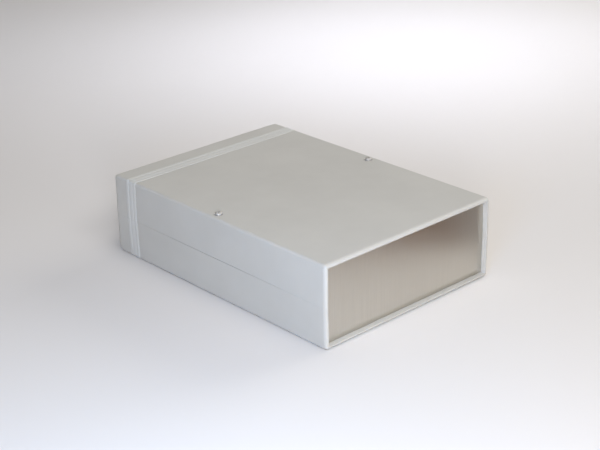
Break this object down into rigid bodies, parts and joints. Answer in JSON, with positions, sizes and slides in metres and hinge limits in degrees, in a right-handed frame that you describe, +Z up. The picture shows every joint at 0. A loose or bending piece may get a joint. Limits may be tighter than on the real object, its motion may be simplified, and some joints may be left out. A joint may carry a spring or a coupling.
{
  "type": "instrument case",
  "caption": "Desktop instrument case: two moulded half shells with an accent strip, metal end panels in grooves and two top screws.",
  "frame": {"origin": "centre of the footprint, on the surface that the case stands on", "axes": "+Z up, -Y out of the front panel, +X to the right as seen from the front"},
  "size_m": [0.185, 0.26, 0.0717],
  "materials": {
    "shell_plastic": "light warm grey ABS, fine spark-eroded texture",
    "strip_plastic": "paler grey ABS, smoother than the shells",
    "panel_metal": "bare sheet, fine rolled grain",
    "screw_metal": "bright zinc plate",
    "insert_brass": "plain turned brass"
  },
  "bodies": {
    "base": {"lower_shell": "shell_plastic", "accent_strip_lower": "strip_plastic", "threaded_insert_left": "insert_brass", "threaded_insert_right": "insert_brass"},
    "cover": {"upper_shell": "shell_plastic", "accent_strip_upper": "strip_plastic"},
    "screw_left": {"case_screw_left": "screw_metal"},
    "screw_right": {"case_screw_right": "screw_metal"},
    "panel_front": {"front_panel": "panel_metal"},
    "panel_rear": {"rear_panel": "panel_metal"}
  },
  "joints": [
    {"name": "cover_lift", "type": "slide", "parent": "base", "child": "cover", "axis": [0, 0, 1], "range_m": [0, 0.1]},
    {"name": "screw_left_out", "type": "slide", "parent": "cover", "child": "screw_left", "axis": [0, 0, 1], "range_m": [0, 0.03]},
    {"name": "screw_right_out", "type": "slide", "parent": "cover", "child": "screw_right", "axis": [0, 0, 1], "range_m": [0, 0.03]},
    {"name": "front_panel_lift", "type": "slide", "parent": "base", "child": "panel_front", "axis": [0, 0, 1], "range_m": [0, 0.045]},
    {"name": "rear_panel_lift", "type": "slide", "parent": "base", "child": "panel_rear", "axis": [0, 0, 1], "range_m": [0, 0.045]}
  ],
  "couplings": [
    {"joint": "front_panel_lift", "follows": "cover_lift", "ratio": 0.45},
    {"joint": "rear_panel_lift", "follows": "cover_lift", "ratio": 0.45}
  ]
}
